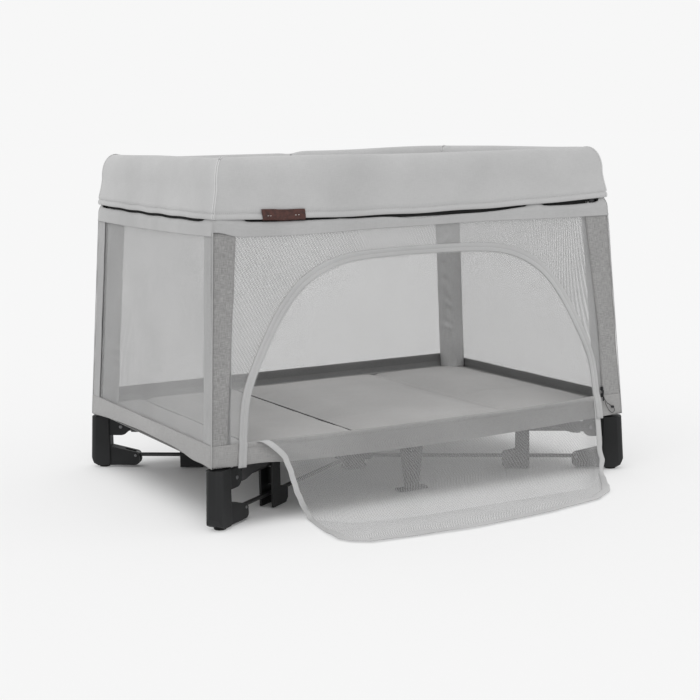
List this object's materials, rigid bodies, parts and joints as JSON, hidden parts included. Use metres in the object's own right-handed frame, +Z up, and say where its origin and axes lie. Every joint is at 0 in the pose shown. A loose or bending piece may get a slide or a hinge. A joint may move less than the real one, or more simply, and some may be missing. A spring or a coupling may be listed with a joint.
{
  "type": "travel play yard",
  "caption": "Folding travel play yard with mesh walls, padded rail cuff, arched front door, mattress and a hub-and-leg floor frame.",
  "frame": {"origin": "centre of the hub foot's underside, on the floor", "axes": "+X along the long side, left to right seen from the door; +Y from the door to the back; +Z up"},
  "size_m": [1.0404, 0.983, 0.733],
  "materials": {
    "cuff_fabric": "woven light grey, padded",
    "wall_mesh": "open mesh, light grey",
    "door_mesh": "open mesh with a bound edge",
    "skirt_fabric": "heathered woven",
    "mattress_fabric": "woven mid grey",
    "strap_webbing": "black webbing",
    "tag_leather": "brown, matte",
    "foot_plastic": "moulded, fine texture",
    "pad_rubber": "matte",
    "post_steel": "powder coated",
    "tube_steel": "powder coated",
    "rod_steel": "powder coated",
    "rail_steel": "powder coated",
    "button_plastic": "moulded",
    "zip_metal": "black, satin"
  },
  "bodies": {
    "corner_front_left": {"corner_foot_front_left": "foot_plastic", "rubber_pad_front_left": "pad_rubber", "corner_post_front_left": "post_steel", "front_wall": "wall_mesh", "left_wall": "wall_mesh"},
    "tube_front_left": {"floor_tube_front_left": "tube_steel"},
    "brace_front_left": {"brace_rod_front_left": "rod_steel"},
    "inner_leg_front_left": {"inner_leg_front_left": "foot_plastic"},
    "corner_front_right": {"corner_foot_front_right": "foot_plastic", "rubber_pad_front_right": "pad_rubber", "corner_post_front_right": "post_steel", "right_wall": "wall_mesh"},
    "tube_front_right": {"floor_tube_front_right": "tube_steel"},
    "brace_front_right": {"brace_rod_front_right": "rod_steel"},
    "inner_leg_front_right": {"inner_leg_front_right": "foot_plastic"},
    "corner_back_right": {"corner_foot_back_right": "foot_plastic", "rubber_pad_back_right": "pad_rubber", "corner_post_back_right": "post_steel"},
    "tube_back_right": {"floor_tube_back_right": "tube_steel"},
    "brace_back_right": {"brace_rod_back_right": "rod_steel"},
    "inner_leg_back_right": {"inner_leg_back_right": "foot_plastic"},
    "corner_back_left": {"corner_foot_back_left": "foot_plastic", "rubber_pad_back_left": "pad_rubber", "corner_post_back_left": "post_steel", "back_wall": "wall_mesh"},
    "tube_back_left": {"floor_tube_back_left": "tube_steel"},
    "brace_back_left": {"brace_rod_back_left": "rod_steel"},
    "inner_leg_back_left": {"inner_leg_back_left": "foot_plastic"},
    "hub": {"hub_body": "foot_plastic", "pull_strap": "strap_webbing", "floor_cloth": "skirt_fabric"},
    "mattress": {"mattress": "mattress_fabric"},
    "side_arm_front": {"side_arm_front": "rod_steel"},
    "mid_leg_front": {"mid_leg_front": "foot_plastic"},
    "side_arm_back": {"side_arm_back": "rod_steel"},
    "mid_leg_back": {"mid_leg_back": "foot_plastic"},
    "front_rail_left": {"front_rail_left": "rail_steel", "front_cuff_left": "cuff_fabric", "hem_tag": "tag_leather"},
    "front_latch_button_left": {"front_latch_button_left": "button_plastic"},
    "front_rail_right": {"front_rail_right": "rail_steel", "front_cuff_right": "cuff_fabric"},
    "back_rail_left": {"back_rail_left": "rail_steel", "back_cuff_left": "cuff_fabric"},
    "back_latch_button_left": {"back_latch_button_left": "button_plastic"},
    "back_rail_right": {"back_rail_right": "rail_steel", "back_cuff_right": "cuff_fabric"},
    "left_rail_front": {"left_rail_front": "rail_steel", "left_cuff_front": "cuff_fabric"},
    "left_latch_button_front": {"left_latch_button_front": "button_plastic"},
    "left_rail_back": {"left_rail_back": "rail_steel", "left_cuff_back": "cuff_fabric"},
    "right_rail_front": {"right_rail_front": "rail_steel", "right_cuff_front": "cuff_fabric"},
    "right_latch_button_front": {"right_latch_button_front": "button_plastic"},
    "right_rail_back": {"right_rail_back": "rail_steel", "right_cuff_back": "cuff_fabric"},
    "door_upper": {"door_flap_upper": "door_mesh"},
    "door_lower": {"door_flap_lower": "door_mesh"},
    "zip": {"zip_pulls": "zip_metal"}
  },
  "joints": [
    {"name": "fold", "type": "hinge", "parent": "corner_front_left", "child": "tube_front_left", "pos_m": [-0.45282, -0.30866, 0.097], "axis": [0.5632, -0.8263, 0], "range_deg": [0, 80], "deforming": ["front_wall", "left_wall", "right_wall", "back_wall", "floor_cloth", "mattress", "front_cuff_left", "front_cuff_right", "back_cuff_left", "back_cuff_right", "left_cuff_front", "left_cuff_back", "right_cuff_front", "right_cuff_back"]},
    {"name": "hub_on_front_left_tube", "type": "hinge", "parent": "tube_front_left", "child": "hub", "pos_m": [-0.05785, -0.03943, 0.097], "axis": [0.5632, -0.8263, 0], "range_deg": [-80, 0]},
    {"name": "front_right_tube_on_hub", "type": "hinge", "parent": "hub", "child": "tube_front_right", "pos_m": [0.05785, -0.03943, 0.097], "axis": [0.5632, 0.8263, 0], "range_deg": [0, 80]},
    {"name": "front_right_foot_on_tube", "type": "hinge", "parent": "tube_front_right", "child": "corner_front_right", "pos_m": [0.45282, -0.30866, 0.097], "axis": [0.5632, 0.8263, 0], "range_deg": [-80, 0]},
    {"name": "back_right_tube_on_hub", "type": "hinge", "parent": "hub", "child": "tube_back_right", "pos_m": [0.05785, 0.03943, 0.097], "axis": [-0.5632, 0.8263, 0], "range_deg": [0, 80]},
    {"name": "back_right_foot_on_tube", "type": "hinge", "parent": "tube_back_right", "child": "corner_back_right", "pos_m": [0.45282, 0.30866, 0.097], "axis": [-0.5632, 0.8263, 0], "range_deg": [-80, 0]},
    {"name": "back_left_tube_on_hub", "type": "hinge", "parent": "hub", "child": "tube_back_left", "pos_m": [-0.05785, 0.03943, 0.097], "axis": [-0.5632, -0.8263, 0], "range_deg": [0, 80]},
    {"name": "back_left_foot_on_tube", "type": "hinge", "parent": "tube_back_left", "child": "corner_back_left", "pos_m": [-0.45282, 0.30866, 0.097], "axis": [-0.5632, -0.8263, 0], "range_deg": [-80, 0]},
    {"name": "front_left_brace_on_hub", "type": "hinge", "parent": "hub", "child": "brace_front_left", "pos_m": [-0.03058, -0.02084, 0.028], "axis": [0.5632, -0.8263, 0], "range_deg": [0, 80]},
    {"name": "front_left_inner_leg_on_tube", "type": "hinge", "parent": "tube_front_left", "child": "inner_leg_front_left", "pos_m": [-0.32391, -0.22079, 0.097], "axis": [0.5632, -0.8263, 0], "range_deg": [-80, 0]},
    {"name": "front_right_brace_on_hub", "type": "hinge", "parent": "hub", "child": "brace_front_right", "pos_m": [0.03058, -0.02084, 0.028], "axis": [0.5632, 0.8263, 0], "range_deg": [0, 80]},
    {"name": "front_right_inner_leg_on_tube", "type": "hinge", "parent": "tube_front_right", "child": "inner_leg_front_right", "pos_m": [0.32391, -0.22079, 0.097], "axis": [0.5632, 0.8263, 0], "range_deg": [-80, 0]},
    {"name": "back_right_brace_on_hub", "type": "hinge", "parent": "hub", "child": "brace_back_right", "pos_m": [0.03058, 0.02084, 0.028], "axis": [-0.5632, 0.8263, 0], "range_deg": [0, 80]},
    {"name": "back_right_inner_leg_on_tube", "type": "hinge", "parent": "tube_back_right", "child": "inner_leg_back_right", "pos_m": [0.32391, 0.22079, 0.097], "axis": [-0.5632, 0.8263, 0], "range_deg": [-80, 0]},
    {"name": "back_left_brace_on_hub", "type": "hinge", "parent": "hub", "child": "brace_back_left", "pos_m": [-0.03058, 0.02084, 0.028], "axis": [-0.5632, -0.8263, 0], "range_deg": [0, 80]},
    {"name": "back_left_inner_leg_on_tube", "type": "hinge", "parent": "tube_back_left", "child": "inner_leg_back_left", "pos_m": [-0.32391, 0.22079, 0.097], "axis": [-0.5632, -0.8263, 0], "range_deg": [-80, 0]},
    {"name": "front_side_arm_on_hub", "type": "hinge", "parent": "hub", "child": "side_arm_front", "pos_m": [0, -0.036, 0.097], "axis": [1, 0, 0], "range_deg": [0, 88]},
    {"name": "front_mid_leg_on_arm", "type": "hinge", "parent": "side_arm_front", "child": "mid_leg_front", "pos_m": [0, -0.262, 0.097], "axis": [1, 0, 0], "range_deg": [-88, 0]},
    {"name": "back_side_arm_on_hub", "type": "hinge", "parent": "hub", "child": "side_arm_back", "pos_m": [0, 0.036, 0.097], "axis": [-1, 0, 0], "range_deg": [0, 88]},
    {"name": "back_mid_leg_on_arm", "type": "hinge", "parent": "side_arm_back", "child": "mid_leg_back", "pos_m": [0, 0.262, 0.097], "axis": [-1, 0, 0], "range_deg": [-88, 0]},
    {"name": "front_rail_left_fold", "type": "hinge", "parent": "corner_front_left", "child": "front_rail_left", "pos_m": [-0.39497, -0.297, 0.714], "axis": [0, 1, 0], "range_deg": [0, 80]},
    {"name": "front_latch_button_left_press", "type": "slide", "parent": "front_rail_left", "child": "front_latch_button_left", "axis": [0, 0, 1], "range_m": [0, 0.006], "stiffness_N_per_m": 200},
    {"name": "front_rail_right_fold", "type": "hinge", "parent": "corner_front_right", "child": "front_rail_right", "pos_m": [0.39497, -0.297, 0.714], "axis": [0, -1, 0], "range_deg": [0, 80]},
    {"name": "back_rail_left_fold", "type": "hinge", "parent": "corner_back_left", "child": "back_rail_left", "pos_m": [-0.39497, 0.297, 0.714], "axis": [0, 1, 0], "range_deg": [0, 80]},
    {"name": "back_latch_button_left_press", "type": "slide", "parent": "back_rail_left", "child": "back_latch_button_left", "axis": [0, 0, 1], "range_m": [0, 0.006], "stiffness_N_per_m": 200},
    {"name": "back_rail_right_fold", "type": "hinge", "parent": "corner_back_right", "child": "back_rail_right", "pos_m": [0.39497, 0.297, 0.714], "axis": [0, -1, 0], "range_deg": [0, 80]},
    {"name": "left_rail_front_fold", "type": "hinge", "parent": "corner_front_left", "child": "left_rail_front", "pos_m": [-0.447, -0.26922, 0.714], "axis": [-1, 0, 0], "range_deg": [0, 80]},
    {"name": "left_latch_button_front_press", "type": "slide", "parent": "left_rail_front", "child": "left_latch_button_front", "axis": [0, 0, 1], "range_m": [0, 0.006], "stiffness_N_per_m": 200},
    {"name": "left_rail_back_fold", "type": "hinge", "parent": "corner_back_left", "child": "left_rail_back", "pos_m": [-0.447, 0.26922, 0.714], "axis": [1, 0, 0], "range_deg": [0, 80]},
    {"name": "right_rail_front_fold", "type": "hinge", "parent": "corner_front_right", "child": "right_rail_front", "pos_m": [0.447, -0.26922, 0.714], "axis": [-1, 0, 0], "range_deg": [0, 80]},
    {"name": "right_latch_button_front_press", "type": "slide", "parent": "right_rail_front", "child": "right_latch_button_front", "axis": [0, 0, 1], "range_m": [0, 0.006], "stiffness_N_per_m": 200},
    {"name": "right_rail_back_fold", "type": "hinge", "parent": "corner_back_right", "child": "right_rail_back", "pos_m": [0.447, 0.26922, 0.714], "axis": [1, 0, 0], "range_deg": [0, 80]},
    {"name": "mattress_lift", "type": "slide", "parent": "hub", "child": "mattress", "axis": [0, 0, 1], "range_m": [0, 0.18]},
    {"name": "door_close", "type": "hinge", "parent": "corner_front_left", "child": "door_upper", "pos_m": [0, -0.3475, 0.171], "axis": [-1, 0, 0], "range_deg": [0, 146.65]},
    {"name": "door_straighten", "type": "hinge", "parent": "door_upper", "child": "door_lower", "pos_m": [0, -0.47046, 0.002], "axis": [-1, 0, 0], "range_deg": [-53.97, 0]},
    {"name": "zip_slide", "type": "slide", "parent": "corner_front_left", "child": "zip", "axis": [-0.1462, 0.0465, 0.9882], "range_m": [0, 0.09]}
  ],
  "couplings": [
    {"joint": "hub_on_front_left_tube", "follows": "fold", "ratio": -1},
    {"joint": "front_right_tube_on_hub", "follows": "fold", "ratio": 1},
    {"joint": "front_right_foot_on_tube", "follows": "fold", "ratio": -1},
    {"joint": "back_right_tube_on_hub", "follows": "fold", "ratio": 1},
    {"joint": "back_right_foot_on_tube", "follows": "fold", "ratio": -1},
    {"joint": "back_left_tube_on_hub", "follows": "fold", "ratio": 1},
    {"joint": "back_left_foot_on_tube", "follows": "fold", "ratio": -1},
    {"joint": "front_left_brace_on_hub", "follows": "fold", "ratio": 1},
    {"joint": "front_left_inner_leg_on_tube", "follows": "fold", "ratio": -1},
    {"joint": "front_right_brace_on_hub", "follows": "fold", "ratio": 1},
    {"joint": "front_right_inner_leg_on_tube", "follows": "fold", "ratio": -1},
    {"joint": "back_right_brace_on_hub", "follows": "fold", "ratio": 1},
    {"joint": "back_right_inner_leg_on_tube", "follows": "fold", "ratio": -1},
    {"joint": "back_left_brace_on_hub", "follows": "fold", "ratio": 1},
    {"joint": "back_left_inner_leg_on_tube", "follows": "fold", "ratio": -1},
    {"joint": "front_side_arm_on_hub", "follows": "fold", "ratio": 1.1},
    {"joint": "front_mid_leg_on_arm", "follows": "fold", "ratio": -1.1},
    {"joint": "back_side_arm_on_hub", "follows": "fold", "ratio": 1.1},
    {"joint": "back_mid_leg_on_arm", "follows": "fold", "ratio": -1.1},
    {"joint": "front_rail_left_fold", "follows": "fold", "ratio": 1},
    {"joint": "front_rail_right_fold", "follows": "fold", "ratio": 1},
    {"joint": "back_rail_left_fold", "follows": "fold", "ratio": 1},
    {"joint": "back_rail_right_fold", "follows": "fold", "ratio": 1},
    {"joint": "left_rail_front_fold", "follows": "fold", "ratio": 1},
    {"joint": "left_rail_back_fold", "follows": "fold", "ratio": 1},
    {"joint": "right_rail_front_fold", "follows": "fold", "ratio": 1},
    {"joint": "right_rail_back_fold", "follows": "fold", "ratio": 1},
    {"joint": "mattress_lift", "follows": "fold", "m_per_rad": 0.125},
    {"joint": "door_straighten", "follows": "door_close", "ratio": -0.36794}
  ]
}
